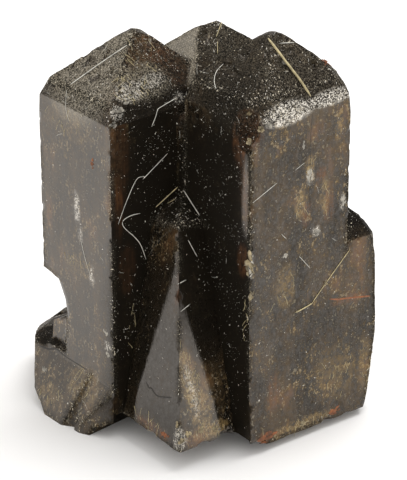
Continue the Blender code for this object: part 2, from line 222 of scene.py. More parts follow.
RIGHT_PATCHES = (
    # Left crystal
    ("ember", (-4.3, -2.2, 16.4), (0.8, 3.4), 0.5),
    ("ember", (-4.4, -2.3, 13.2), (0.4, 2.2), 0.5),
    ("ember", (-4.0, -2.0, 9.9), (0.8, 2.0), 0.5),
    ("ochre", (-3.9, -1.9, 6.6), (0.4, 1.6), 0.3),
    # Painted shade in the notch between the two tall crystals
    ("dark", (-2.2, -0.5, 8.5), (5.6, 15.5), 1.0),
    # Left crystal, cap
    # A painted sheen with glints on the cap's lower part
    ("pale", (-3.0, -0.3, 19.7), (2.1, 1.0), 0.8),
    ("ember", (-2.6, 0.8, 20.9), (2.0, 0.9), 0.55),
    ("dark", (-2.2, -0.6, 18.6), (3.4, 0.6), 1.0),
    ("ember", (-1.6, 1.4, 20.2), (1.2, 1.5), 0.8),
    ("ochre", (-3.2, 1.0, 21.0), (1.2, 1.2), 0.4),
    # These two frost patches are painted glints on the cap's lower part
    ("frost", (-3.5, -1.2, 19.55), (1.2, 0.5), 0.6),
    ("frost", (-2.3, -0.2, 19.7), (1.1, 0.35), 0.4),
    ("ochre", (-3.3, -1.0, 19.6), (1.6, 0.7), 0.7),
    # Right crystal
    ("ochre", (5.5, -2.0, 15.7), (0.4, 1.0), 0.7),
    ("ochre", (5.0, -2.4, 13.9), (0.5, 1.1), 0.6),
    ("ochre", (6.4, -1.4, 13.9), (0.4, 1.4), 0.6),
    ("ochre", (7.0, -0.8, 17.6), (0.3, 1.0), 0.6),
    ("ochre", (4.3, -3.0, 9.4), (0.9, 1.6), 0.35),
    ("ember", (6.1, -1.5, 15.2), (0.35, 0.5), 0.9),
    ("ember", (5.3, -2.1, 13.2), (0.4, 0.9), 0.7),
    ("ember", (6.6, -1.2, 13.3), (0.4, 1.2), 0.7),
    ("ember", (3.6, -3.5, 3.4), (0.5, 1.4), 0.5),
    ("frost", (5.5, -2.0, 15.3), (0.2, 0.6), 0.6),
    ("frost", (5.9, -1.7, 12.0), (0.3, 0.35), 0.6),
    ("frost", (7.3, -0.6, 13.2), (0.2, 0.6), 0.5),
    ("frost", (2.45, -4.55, 11.4), (0.22, 0.9), 1.0),
    # Right crystal, band and cap
    ("frost", (4.3, -3.0, 19.25), (2.0, 0.75), 1.0),
    ("frost", (6.6, -1.1, 19.35), (1.9, 0.5), 0.9),
    ("pale", (5.0, -1.6, 21.0), (3.5, 3.0), 0.25),
    ("dark", (5.0, -1.6, 21.2), (3.8, 2.2), 0.5),
    # Low crystal
    ("ochre", (-0.7, -4.9, 5.0), (0.6, 2.0), 0.6),
    ("frost", (-0.6, -5.0, 4.9), (0.25, 0.9), 0.3),
    ("ochre", (-0.2, -4.7, 3.3), (1.0, 1.8), 0.6),
    ("frost", (-0.5, -4.8, 3.6), (0.25, 1.2), 0.4),
    ("ochre", (0.1, -4.5, 1.7), (1.6, 0.5), 0.8),
    ("clean", (0.6, -4.0, 9.5), (2.6, 5.0), 1.0),
    ("clean", (0.0, -2.9, 9.5), (2.6, 5.5), 1.0),
    # Painted shade in the corner above the low crystal
    ("dark", (0.0, -2.9, 10.5), (2.6, 4.5), 0.6),
    ("etch", (0.4, -4.2, 6.5), (4.0, 9.0), -0.35),
    # Right stub
    ("ember", (7.9, -0.3, 7.35), (1.6, 0.3), 0.6),
    ("ochre", (6.9, -0.9, 3.2), (1.9, 2.0), 0.25),
    ("ochre", (8.6, 0.4, 3.0), (0.6, 2.2), 0.3),
    ("ember", (3.3, -4.1, 0.9), (0.7, 0.35), 1.0),
    ("ochre", (5.2, -2.5, 0.9), (2.8, 0.35), 0.6),
    # Back crystal
    ("ochre", (1.4, 4.0, 21.8), (0.25, 1.0), 0.8),
    ("pale", (1.4, 3.6, 21.5), (2.5, 2.5), 0.25),
    ("dark", (1.4, 3.6, 21.5), (2.5, 2.5), 0.5),
)
# Painted shade on the tops of both stubs, which face up
TOP_PATCHES = (
    # Right stub
    ("soot", (8.3, 0.8, 11.3), (2.6, 1.8), 0.8),
    ("dark", (8.3, 0.8, 11.3), (2.6, 1.8), 1.0),
    # Left stub
    ("soot", (-8.6, 2.6, 3.7), (1.5, 0.8), 0.8),
)
ALL_ROUND_PATCHES = (
    # Left crystal, cap
    # This frost patch is a painted glint on the cap
    ("frost", (-4.4, -2.1, 18.9), (0.5, 0.5), 0.6),
    # Right crystal, band and cap
    ("band", (2.2, -4.0, 18.8), (0.9, 1.3), 0.9),
    ("ember", (2.2, -4.0, 18.8), (1.0, 1.5), 1.0),
    # Rough growth in the corner between the two tall crystals
    ("band", (-1.1, 0.3, 18.0), (0.7, 1.4), 0.9),
    ("ember", (-1.1, 0.3, 18.1), (0.6, 1.0), 0.6),
    ("frost", (-1.2, 0.4, 18.7), (0.5, 0.4), 0.5),
    # Low crystal
    ("frost", (-1.25, -5.9, 1.8), (0.4, 0.9), 0.45),
    ("ember", (-0.6, -5.0, 1.6), (1.2, 0.6), 0.7),
    # Painted shade deep in the corner between the tall crystals
    ("dark", (-0.3, -0.9, 13.5), (2.2, 6.0), 1.0),
)
PATCHES = [
    Patch(facing, *row)
    for facing, rows in (
        ("left", LEFT_PATCHES), ("right", RIGHT_PATCHES), ("up", TOP_PATCHES),
        ("", ALL_ROUND_PATCHES))
    for row in rows
]

# Threads, cracks and streaks of each stuff: their width and the points that they pass
FIBRES = {
    "silk": (
        (0.05, ((-6.9, 0.8, 19.25), (-5.4, 1.1, 20.3), (-3.95, 1.35, 21.2))),
        (0.02, ((-7.1, 0.7, 19.0), (-7.15, 0.3, 18.2), (-7.0, 0.1, 17.5))),
        (0.03, ((1.0, -0.7, 21.1), (0.65, -1.1, 20.8), (0.55, -1.6, 20.5), (0.7, -2.1, 20.2))),
        (0.035, ((3.9, -0.6, 22.15), (4.6, -0.2, 21.95))),
        (0.035, ((-1.4, 0.4, 18.7), (-2.25, -0.45, 18.5), (-2.4, -0.6, 18.4), (-2.5, -0.7, 18.15),
                 (-2.7, -0.9, 17.6))),
        (0.03, ((-1.9, -0.25, 15.8), (-3.15, -1.3, 14.8))),
        (0.03, ((-3.1, -1.25, 14.95), (-3.5, -1.55, 14.9), (-4.0, -1.95, 13.9),
                (-4.45, -2.35, 12.7))),
        (0.035, ((-3.3, -1.45, 12.9), (-3.8, -1.8, 12.95), (-4.2, -2.15, 12.8), (-4.15, -2.1, 12.4),
                 (-3.6, -1.65, 11.6), (-3.3, -1.4, 11.0), (-3.05, -1.2, 10.1))),
        (0.045, ((-1.0, -0.4, 13.75), (-0.2, -1.45, 12.8))),
        (0.03, ((-0.8, -2.5, 11.85), (-0.35, -2.4, 10.85))),
        (0.045, ((-1.35, -3.5, 9.8), (-0.9, -3.2, 9.9))),
        (0.03, ((-1.2, -3.9, 8.4), (-0.7, -3.45, 8.6))),
        (0.03, ((2.5, -4.5, 14.95), (3.75, -3.45, 15.6))),
        (0.025, ((4.7, -2.7, 15.95), (5.2, -2.3, 16.2))),
        (0.025, ((5.0, -2.45, 10.9), (5.6, -1.95, 9.95))),
        (0.035, ((4.0, -3.25, 12.6), (4.3, -3.05, 12.2))),
        (0.02, ((-6.5, -0.5, 11.0), (-6.3, -0.8, 10.0), (-5.9, -1.2, 8.9))),
    ),
    "straw": (
        (0.13, ((3.3, -0.7, 22.4), (4.4, -1.3, 21.05), (5.5, -1.95, 19.7))),
        (0.05, ((-2.5, -0.75, 12.95), (-1.4, 0.0, 13.75))),
        (0.04, ((-1.9, -0.3, 12.95), (-1.45, -0.3, 13.2))),
        (0.05, ((7.8, -0.25, 10.2), (6.9, -0.95, 9.2), (6.2, -1.5, 8.4), (5.7, -1.9, 7.8))),
        (0.07, ((5.75, -1.85, 7.85), (5.4, -2.15, 7.75), (4.85, -2.6, 7.65))),
        (0.045, ((1.0, 3.4, 21.3), (1.6, 4.0, 22.3))),
        (0.03, ((0.8, 2.9, 20.2), (1.0, 3.3, 21.0))),
    ),
    "crack": (
        (0.12, ((-3.15, -3.1, 3.9), (-2.9, -3.45, 3.6), (-2.75, -3.6, 3.65), (-2.4, -4.1, 3.45),
                (-1.6, -5.0, 3.85))),
        (0.11, ((-9.3, 2.7, 2.9), (-8.6, 1.9, 3.05), (-8.1, 1.4, 3.3), (-7.5, 0.7, 3.2),
                (-6.8, -0.15, 3.2), (-6.15, -1.0, 3.2))),
        (0.03, ((5.55, -1.95, 18.9), (5.5, -2.05, 17.0), (5.55, -2.0, 15.6), (5.45, -2.05, 14.3))),
        (0.05, ((5.7, -1.9, 8.3), (5.75, -1.85, 7.9), (5.65, -1.95, 7.5))),
    ),
    "rust": (
        (0.13, ((6.63, -1.21, 7.74), (7.2, -0.8, 7.5), (7.86, -0.3, 7.33), (9.1, 0.63, 6.98))),
    ),
}

# Chips crowded on a face: their stuff, their middle, and its half-sizes out, sideways and up
FLAKES = (
    ("bone", (2.45, -4.56, 11.45), (0.2, 0.3, 0.75)),
    ("bone", (2.4, -4.55, 9.6), (0.12, 0.16, 0.3)),
    ("bone", (2.2, -4.35, 18.3), (0.17, 0.2, 0.24)),
    ("bone", (2.85, -4.15, 18.9), (0.15, 0.18, 0.2)),
    ("bone", (2.3, -3.7, 19.6), (0.1, 0.15, 0.12)),
    ("chalk", (5.5, -2.05, 15.25), (0.03, 0.2, 0.5)),
    ("chalk", (5.15, -2.35, 17.2), (0.02, 0.1, 0.25)),
    ("chalk", (5.9, -1.75, 11.95), (0.03, 0.3, 0.22)),
    ("chalk", (7.35, -0.55, 13.2), (0.03, 0.2, 0.4)),
    ("chalk", (4.25, -3.05, 11.2), (0.03, 0.2, 0.14)),
    ("chalk", (3.9, -0.9, 20.9), (0.06, 0.16, 0.14)),
    ("chalk", (-5.2, -2.1, 6.2), (0.02, 0.24, 0.2)),
    ("chalk", (-5.1, -2.25, 4.9), (0.02, 0.22, 0.18)),
    ("chalk", (-8.6, 1.6, 1.9), (0.02, 0.22, 0.2)),
    ("chalk", (-4.3, -2.0, 19.0), (0.16, 0.3, 0.2)),
    ("chalk", (-3.8, -1.5, 19.3), (0.14, 0.28, 0.16)),
    ("chalk", (-4.65, -2.4, 18.3), (0.12, 0.2, 0.24)),
    ("chalk", (3.3, -3.8, 19.0), (0.1, 0.3, 0.18)),
    ("rust", (-5.75, -1.43, 15.75), (0.05, 0.15, 0.3)),
    ("rust", (6.2, -0.2, 20.9), (0.05, 0.2, 0.2)),
    ("rust", (6.55, 0.1, 20.75), (0.04, 0.13, 0.16)),
    ("rust", (3.35, -4.0, 0.85), (0.06, 0.6, 0.3)),
    ("bone", (-1.2, -5.95, 1.75), (0.1, 0.2, 0.22)),
    ("bone", (-0.85, -5.6, 2.0), (0.1, 0.2, 0.2)),
    ("bone", (-0.3, -4.9, 1.9), (0.07, 0.25, 0.2)),
    ("bone", (0.5, -4.3, 1.6), (0.07, 0.25, 0.2)),
    ("rust", (-1.8, -5.0, 1.6), (0.05, 0.3, 0.16)),
    ("rust", (6.9, -0.95, 0.9), (0.05, 0.5, 0.2)),
    ("bone", (5.2, -2.4, 0.85), (0.06, 0.5, 0.16)),
    ("bone", (-1.35, -5.7, 2.6), (0.1, 0.12, 0.2)),
    ("bone", (6.45, -1.3, 8.75), (0.1, 0.14, 0.2)),
    ("bone", (4.95, -2.5, 7.65), (0.07, 0.12, 0.1)),
)


def maths(operation, swap=False):
    """A Python operator that adds one Math node, with its two terms swapped if it is reflected."""
    return lambda value, other: value.math(operation, other, swap=swap)


class Value:
    """A socket that gives a number or a colour, so that node maths reads as Python."""

    def __init__(self, tree, socket):
        self.tree = tree
        self.socket = socket

    def math(self, operation, other, swap=False):
        """The result of a new Math node."""
        made = self.tree.nodes.new("ShaderNodeMath")
        made.operation = operation
        for socket, term in zip(made.inputs, (other, self) if swap else (self, other)):
            if isinstance(term, Value):
                self.tree.links.new(term.socket, socket)
            else:
                socket.default_value = term
        return Value(self.tree, made.outputs[0])

    __add__ = __radd__ = maths("ADD")
    __mul__ = __rmul__ = maths("MULTIPLY")
    __sub__ = maths("SUBTRACT")
    __rsub__ = maths("SUBTRACT", swap=True)
    __truediv__ = maths("DIVIDE")
    __rtruediv__ = maths("DIVIDE", swap=True)
    __pow__ = maths("POWER")
    __rpow__ = maths("POWER", swap=True)

    def least(self, other):
        """The smaller of two values."""
        return self.math("MINIMUM", other)

    def most(self, other):
        """The larger of two values."""
        return self.math("MAXIMUM", other)

    def rise(self, low, high):
        """0 below low, 1 above high, and a straight climb between."""
        climb = (self - low) / (high - low)
        return climb.most(0.0).least(1.0)


class Nodes:
    """Adds nodes to one tree: their settings first, then the values or links of their sockets."""

    def __init__(self, tree):
        self.tree = tree

    def feed(self, socket, value):
        """Link a value to a socket, or set the socket to a constant."""
        if isinstance(value, Value):
            self.tree.links.new(value.socket, socket)
        else:
            socket.default_value = value

    def node(self, kind, settings=None, sockets=None):
        """A new node."""
        made = self.tree.nodes.new(kind)
        for name, value in (settings or {}).items():
            setattr(made, name, value)
        for name, value in (sockets or {}).items():
            self.feed(made.inputs[name], value)
        return made

    def value(self, kind, output, settings=None, sockets=None):
        """One output of a new node, ready for maths."""
        return Value(self.tree, self.node(kind, settings, sockets).outputs[output])

    def random_number(self, seed):
        """A number from 0 to 1 for each point."""
        return self.value(
            "FunctionNodeRandomValue", 1, {"data_type": "FLOAT"}, {2: 0.0, 3: 1.0, "Seed": seed})

    def random_vector(self, low, high, seed):
        """A vector between two for each point."""
        return self.value(
            "FunctionNodeRandomValue", 0, {"data_type": "FLOAT_VECTOR"},
            {0: low, 1: high, "Seed": seed})

    def mix(self, factor, first, second):
        """A colour between two, by a factor."""
        return self.value(
            "ShaderNodeMix", 2, {"data_type": "RGBA", "clamp_factor": True},
            {0: factor, 6: opaque(first), 7: opaque(second)})


def opaque(colour):
    """A colour with its alpha, unless it is a socket already."""
    return colour if isinstance(colour, Value) else (*colour, 1.0)


class Recipe(Nodes):
    """A material under construction."""

    def __init__(self, name):
        self.material = bpy.data.materials.new(name)
        self.material.use_nodes = True
        self.material.node_tree.nodes.clear()
        super().__init__(self.material.node_tree)

    def place(self, turn=0.0, height=1.0, shift=(0.0, 0.0, 0.0)):
        """Object coordinates in millimetres, turned about Z, with their height squeezed."""
        start = self.value("ShaderNodeTexCoord", "Object")
        turned = self.value(
            "ShaderNodeMapping", 0, {"vector_type": "POINT"},
            {"Vector": start, "Rotation": (0.0, 0.0, -math.radians(turn)), "Scale": (1 / MM,) * 3,
             "Location": shift})
        return self.value(
            "ShaderNodeVectorMath", 0, {"operation": "MULTIPLY"},
            {0: turned, 1: (1.0, 1.0, height)})

    def noise(self, place, scale, detail, roughness):
        """Soft noise from 0 to 1, of this many blobs to a millimetre."""
        return self.value(
            "ShaderNodeTexNoise", 0, None,
            {"Vector": place, "Scale": scale, "Detail": detail, "Roughness": roughness})

    def attribute(self, name):
        """One of the skin's attributes."""
        return self.value("ShaderNodeAttribute", "Fac", {"attribute_name": name})

    def bump(self, height, distance, strength):
        """A normal that leans with a height, which stands for this distance in metres."""
        return self.value(
            "ShaderNodeBump", 0, None,
            {"Height": height, "Distance": distance, "Strength": strength})

    def principled(self, colour, roughness, normal, refraction, tint=(1.0, 1.0, 1.0)):
        """A Principled shader for something that isn't metal."""
        return self.value("ShaderNodeBsdfPrincipled", 0, None, {
            "Base Color": opaque(colour), "Roughness": roughness, "Normal": normal,
            "IOR": refraction, "Metallic": 0.0, "Specular Tint": opaque(tint)})

    def finish(self, shader):
        """The finished material."""
        self.node("ShaderNodeOutputMaterial", None, {"Surface": shader})
        return self.material


def new_object(name, data):
    """An object at the origin, in the scene."""
    made = bpy.data.objects.new(name, data)
    bpy.context.scene.collection.objects.link(made)
    return made


def plain_object(item, name, material):
    """Turn an evaluated object into a plain mesh object at the origin, without modifiers."""
    graph = bpy.context.evaluated_depsgraph_get()
    data = bpy.data.meshes.new_from_object(item.evaluated_get(graph))
    data.name = name
    bpy.data.objects.remove(item, do_unlink=True)
    if not data.polygons:
        raise RuntimeError(f"{name} came out empty")
    data.materials.clear()
    data.materials.append(material)
    return new_object(name, data)


def add_clinging(name, mesh, material, smooth):
    """A piece that clings to the crystals and moves with them, from its faces in metres."""
    data = bpy.data.meshes.new(name)
    mesh.to_mesh(data)
    mesh.free()
    data.polygons.foreach_set("use_smooth", [smooth] * len(data.polygons))
    data.materials.append(material)
    made = new_object(name, data)
    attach(made, BODY)


def merged_solid():
    """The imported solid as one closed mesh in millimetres."""
    mesh = bmesh.new()
    mesh.from_mesh(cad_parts[NODE].data)
    bmesh.ops.scale(mesh, vec=(1 / MM,) * 3, verts=mesh.verts)
    bmesh.ops.remove_doubles(mesh, verts=mesh.verts, dist=0.001)
    return mesh


def surface_tree():
    """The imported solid's surface, for laying things on it."""
    mesh = merged_solid()
    tree = BVHTree.FromBMesh(mesh)
    mesh.free()
    return tree


def edge_distances(mesh, points, reach):
    """How far each point is from the nearest long convex edge, other than those of thin plates."""
    bmesh.ops.dissolve_limit(mesh, angle_limit=ONE_FACE, verts=mesh.verts, edges=mesh.edges)
    samples = []
    for edge in mesh.edges:
        length = edge.calc_length()
        if len(edge.link_faces) != 2 or length < WORN_LENGTH:
            continue
        if edge.calc_face_angle_signed() < SHARP_EDGE:
            continue
        if min(face.calc_area() for face in edge.link_faces) < PLATE_STEP * length:
            continue
        first, second = (corner.co for corner in edge.verts)
        steps = max(2, int(length / STRIDE))
        samples.extend(first.lerp(second, step / steps) for step in range(steps + 1))
    tree = KDTree(len(samples))
    for number, sample in enumerate(samples):
        tree.insert(sample, number)
    tree.balance()
    return np.array([min(reach, tree.find(point)[2]) for point in points])


def refine(mesh, spacing):
    """Split edges until none is longer than the spacing, or a little more on the prism sides."""
    for _ in range(SPLIT_ROUNDS):
        long = []
        for edge in mesh.edges:
            on_side = max(corner.co.z for corner in edge.verts) < BAND_HEIGHT
            if edge.calc_length() > spacing * (SIDE_COARSENESS if on_side else 1.0):
                long.append(edge)
        if not long:
            break
        bmesh.ops.subdivide_edges(mesh, edges=long, cuts=1)
        wide = [face for face in mesh.faces if len(face.verts) > 3]
        bmesh.ops.triangulate(mesh, faces=wide)


def smooth_rise(values, low, high):
    """0 below low, 1 above high, and a smooth climb between."""
    share = np.clip((values - low) / (high - low), 0.0, 1.0)
    return share * share * (3 - 2 * share)


def facing_share(normals, facing, low, high):
    """How far each point counts as looking one way."""
    return smooth_rise(normals @ np.array(FACING[facing]), low, high)


def patch_weights(patch, points, normals):
    """How much of a patch each point takes. The caps lean, so a patch there reaches deeper."""
    offset = points - np.array(patch.centre)
    if patch.facing in ("", "up"):
        lateral = np.hypot(offset[:, 0], offset[:, 1])
    else:
        outward = np.array(FACING[patch.facing])
        lateral = offset @ np.array((-outward[1], outward[0], 0.0))
    distance = np.sqrt((lateral / patch.size[0]) ** 2 + (offset[:, 2] / patch.size[1]) ** 2)
    weights = patch.strength * (1 - smooth_rise(distance, 0.55, 1.0))
    if patch.facing:
        weights *= facing_share(normals, patch.facing, 0.3, 0.55)
        depth = np.abs(offset @ np.array(FACING[patch.facing]))
        reach = CAP_PATCH_DEPTH if patch.centre[2] > BAND_HEIGHT else SIDE_PATCH_DEPTH
        weights *= 1 - smooth_rise(depth, reach, reach + PATCH_DEPTH_FADE)
    return weights


def skin_finishes(points, normals):
    """The finishes of every point of the skin."""
    lift = normals[:, 2]
    height = points[:, 2]
    lowest, highest = STUB_BAND_HEIGHTS
    on_band = (height > BAND_HEIGHT) | (
        (height > lowest) & (height < highest) & (points[:, 0] > STUB_BAND_START))
    found = {name: np.zeros(len(points)) for name in FINISHES}
    found["cap"] = smooth_rise(lift, CAP_LIFT - 0.08, CAP_LIFT + 0.04)
    tilted = smooth_rise(lift, BAND_LIFT - 0.04, BAND_LIFT + 0.06)
    found["band"] = tilted * (1 - found["cap"]) * on_band
    for facing, strength in SIDE_DULLING.items():
        found["etch"] += strength * facing_share(normals, facing, 0.3, 0.6)
    for patch in PATCHES:
        found[patch.finish] += patch_weights(patch, points, normals)
    return {name: np.clip(values, 0.0, 1.0) for name, values in found.items()}


def relief_depths(points, normals, finishes, edge_distance):
    """How deep the growth steps, the etching and the wear lie below the solid's faces."""
    along = points @ np.array(ALONG)
    across = points @ np.array(ACROSS)
    across_facing = np.abs(normals @ np.array(ACROSS)) > 0.6
    rough = np.maximum(finishes["cap"], finishes["band"])
    depths = np.zeros(len(points))
    for number, point in enumerate(points):
        lateral = along[number] if across_facing[number] else across[number]
        height = point[2]
        steps = noise.noise(Vector((lateral * 0.55, height * 0.035, 3.1)))
        ledge = 0.5 + 0.5 * math.tanh(14 * (steps - 0.08)) - 0.5 * math.tanh(16 * (steps + 0.22))
        ripple = noise.noise(Vector((lateral * 2.1, height * 0.09, 7.7)))
        depth = (1 - rough[number]) * (LEDGE_DEPTH * ledge + RIPPLE_DEPTH * ripple)
        spot = Vector(point)
        if rough[number] > 0.02:
            lumps = noise.fractal(spot * 1.9, 0.6, 2.3, 4)
            pits = max(0.0, noise.noise(spot * 4.3) - 0.05)
            depth += rough[number] * (ETCHING_DEPTH + LUMP_DEPTH * lumps + PIT_DEPTH * pits)
        if edge_distance[number] < WEAR_REACH:
            wear = 1 - edge_distance[number] / WEAR_REACH
            bite = max(0.0, 0.35 + noise.noise(spot * 2.3) + 0.4 * noise.noise(spot * 6.1))
            depth += WEAR_DEPTH * wear * wear * bite
        depths[number] = depth
    return np.maximum(depths, 0.0)


def make_skin(spacing, relief):
    """The crystals' skin: the solid's faces split finely, with relief and finishes."""
    solid = merged_solid()
    fine = solid.copy()
    refine(fine, spacing)
    fine.normal_update()
    points = np.array([corner.co[:] for corner in fine.verts])
    normals = np.array([corner.normal[:] for corner in fine.verts])
    distance = edge_distances(solid, [corner.co for corner in fine.verts], 1.0)
    solid.free()
    finishes = skin_finishes(points, normals)
    depths = relief * relief_depths(points, normals, finishes, distance)
    height = points[:, 2]
    depths[height < FOOT_HEIGHT] = 0.0
    moved = (points - normals * depths[:, None]) * MM
    moved[:, 2] = np.maximum(moved[:, 2], 0.0)
    data = bpy.data.meshes.new("crystals")
    fine.to_mesh(data)
    fine.free()
    data.vertices.foreach_set("co", moved.astype(np.float32).ravel())
    wear = 1 - smooth_rise(distance, 0.02, 0.38)
    cap = finishes["cap"]
    grit = 0.6 * wear ** 2 + 1.2 * finishes["frost"] + 0.12 * finishes["ochre"] + 0.12 * cap
    settled = 0.3 + 0.9 * finishes["dark"] + 1.2 * np.maximum(cap, finishes["band"])
    layers = {
        **finishes, "wear": wear,
        "grit": np.clip(grit, 0.0, 2.4) * smooth_rise(height, 0.1, 0.3),
        "dust": smooth_rise(height, 0.35, 0.7) * settled}
    for name, values in layers.items():
        layer = data.attributes.new(name, "FLOAT", "POINT")
        layer.data.foreach_set("value", values.astype(np.float32))
    data.polygons.foreach_set("use_smooth", [True] * len(data.polygons))
    data.set_sharp_from_angle(angle=SHARP_EDGE)
    data.update()
    return data


def crystal_material(look):
    """Nearly black brown with a hard gloss, clouded with ochre and ember (a painted glow of light
    through thin edges), etched dull in places; painted shade darkens the corners, the stubs' tops
    and the right-facing sides, and a painted sheen with glints lightens the caps.
    """
    r = Recipe("dark_rutile")
    place = r.place(TURN)
    streaky = r.place(TURN, height=0.06)
    other = r.place(TURN, height=0.8, shift=(31.0, 17.0, 5.0))
    # Painted shade in the notch and the corners, and darker caps
    dark = r.attribute("dark")
    wear = r.attribute("wear")
    rough = r.attribute("cap").most(r.attribute("band"))

    # Noises from the size of a face down to that of a crumb
    clouds = r.noise(r.place(TURN, height=0.5), 0.55, 4.0, 0.6)
    warm = r.noise(other, 0.7, 5.0, 0.62)
    streaks = r.noise(streaky, 5.0, 3.0, 0.6)
    mottle = r.noise(other, 3.4, 4.0, 0.65)
    fine = r.noise(place, 8.0, 2.0, 0.6)
    grit = r.noise(place, 15.0, 1.0, 0.5)
    flecks = r.noise(r.place(TURN, height=0.6, shift=(3.0, 9.0, 2.0)), 4.4, 4.0, 0.75)

    # How much of each colour a place takes
    brown = (clouds * 0.45 + mottle * 0.4 + streaks * 0.15).rise(0.44, 0.6)
    film = (warm * 0.45 + mottle * 0.3 + flecks * 0.25).rise(0.53, 0.63) * 0.35
    ochre = r.attribute("ochre") * 1.2 * mottle.rise(0.36, 0.56) * fine.rise(0.3, 0.55)
    ochre = ochre + film * flecks.rise(0.4, 0.6)
    sparks = (flecks * 0.6 + fine * 0.4).rise(0.53, 0.6) * warm.rise(0.48, 0.6) * 0.6
    ember_ground = (clouds * 0.45 + streaks * 0.1 + warm * 0.45).rise(0.55, 0.65) * 0.4
    ember = r.attribute("ember") * (mottle * 0.5 + streaks * 0.5).rise(0.36, 0.6) + ember_ground
    specks = (grit * 0.65 + fine * 0.35).rise(0.5, 0.58)
    pits = (grit * 0.6 + r.noise(place, 6.0, 3.0, 0.7) * 0.4).rise(0.42, 0.53)
    # Pale etch marks, and on the caps a painted sheen with glints
    pale = r.attribute("pale") * (specks * 0.55 + 0.45)
    crumbs = (grit * 0.4 + fine * 0.3 + r.noise(place, 5.0, 3.0, 0.7) * 0.3).rise(0.47, 0.53)
    ragged = (mottle * 0.6 + clouds * 0.4).rise(0.36, 0.5) * 1.1 + 0.12
    # Crushed frost; on the left crystal's cap it is painted glints
    frost_and_glint_share = (r.attribute("frost") * ragged * (crumbs * 1.05 + 0.05)).least(1.0)
    scuffs = (flecks * 0.5 + fine * 0.5).rise(0.56, 0.62) * 0.5
    # The coloured film fades where painted shade lies and where the faces are clean. The darkening
    # towards the body colour adds painted shade in the corners and on the stubs' tops to the worn
    # edges and the etched caps
    clear = 1 - (dark * 0.94 + r.attribute("clean") * 0.9).least(0.96)
    shade = r.attribute("soot") + wear * (1 - specks) * 0.5 + rough * (1 - pits) * 0.85 + dark * 0.5

    # From the clear body at the bottom to frost, and on top the darkening: painted shade, worn
    # edges and etched caps
    colour = r.mix(brown * clear, look.body_colour, look.brown_colour)
    colour = r.mix((ochre + sparks).least(1.0) * clear, colour, look.ochre_colour)
    # Ember: a painted red-brown glow of light shining through thin edges, over random red-brown
    # clouds
    colour = r.mix(ember.least(1.0) * clear.most(r.attribute("ember")), colour, look.ember_colour)
    colour = r.mix(rough * (specks * 0.5 + 0.35), colour, look.etched_colour)
    colour = r.mix(pale, colour, look.pale_and_sheen_colour)
    colour = r.mix((wear * specks * 0.3 + scuffs * clear).least(1.0), colour, look.pale_and_sheen_colour)
    colour = r.mix(frost_and_glint_share, colour, look.frost_and_glint_colour)
    colour = r.mix(shade.least(1.0), colour, look.body_colour)

    # Gloss and relief
    smear = r.noise(other, 1.7, 3.0, 0.6).rise(0.45, 0.7)
    roughness = look.gloss_roughness + smear * 0.05 + rough * 0.25 + frost_and_glint_share * 0.35
    lines = streaks * 0.6 + r.noise(streaky, 13.0, 2.0, 0.5) * 0.4
    height = (1 - rough) * (lines * 0.1 + fine * 0.03) + rough * (pits * 0.5 + grit * 0.5)
    height = height + frost_and_glint_share * grit * 0.8
    normal = r.bump(height, look.bump_depth, 0.9)
    worn_gloss = (mottle * 0.5 + flecks * 0.7 + fine * 0.5).rise(0.62, 1.1) * 1.5 + 0.2
    # Painted shade in the corners and on the stubs' tops, and the dulled right-facing sides, lose
    # gloss as etching and wear do
    dull = dark * (0.86 + mottle * 0.2) + r.attribute("etch") * worn_gloss
    dull = dull + r.attribute("soot") * 0.8
    dull = dull + rough * (0.45 + (1 - pits) * 0.4) + wear * 0.5

    glossy = r.principled(
        colour, roughness.least(1.0), normal, look.refraction, look.gloss_colour)
    etched = r.principled(colour, ETCHED_ROUGHNESS, normal, ETCHED_REFRACTION)
    return r.finish(r.value(
        "ShaderNodeMixShader", 0, None, {0: dull.least(MOST_DULL), 1: glossy, 2: etched}))


def dimmed(colour, share):
    """A darker tone of a colour."""
    return tuple(share * part for part in colour)


def grain_material(name, light, shade, roughness):
    """Crumbs and dust that vary between their tone and a darker one."""
    r = Recipe(name)
    tone = r.noise(r.place(), 2.7, 2.0, 0.6).rise(0.35, 0.65)
    speckle = r.noise(r.place(), 19.0, 1.0, 0.5)
    return r.finish(r.principled(
        r.mix(tone, dimmed(light, shade), light), roughness + speckle * 0.2,
        r.bump(speckle, 0.00001, 0.5), PLAIN_REFRACTION))


def thread_material(name, colour):
    """A thin thread, a little brighter and darker along its length."""
    r = Recipe(name)
    along = r.noise(r.place(), 3.5, 2.0, 0.6)
    return r.finish(r.principled(
        r.mix(along.rise(0.3, 0.6), dimmed(colour, 0.55), colour), 0.35 + along * 0.2,
        r.bump(r.noise(r.place(), 30.0, 1.0, 0.5), 0.000004, 0.4), PLAIN_REFRACTION))


def new_group(name, inputs):
    """A Geometry Nodes tree with named inputs, as its nodes, input values and output node."""
    tree = bpy.data.node_groups.new(name, "GeometryNodeTree")
    tree.interface.new_socket(name="Surface", in_out="INPUT", socket_type="NodeSocketGeometry")
    for label, default in inputs.items():
        kind = "NodeSocketInt" if isinstance(default, int) else "NodeSocketFloat"
        socket = tree.interface.new_socket(name=label, in_out="INPUT", socket_type=kind)
        socket.default_value = default
    tree.interface.new_socket(name="Geometry", in_out="OUTPUT", socket_type="NodeSocketGeometry")
    start = tree.nodes.new("NodeGroupInput")
    end = tree.nodes.new("NodeGroupOutput")
    given = {socket.name: Value(tree, socket) for socket in start.outputs if socket.name}
    return Nodes(tree), given, end


def skin_attribute(n, name):
    """One of the skin's attributes, as a number."""
    return n.value("GeometryNodeInputNamedAttribute", 0, {"data_type": "FLOAT"}, {"Name": name})


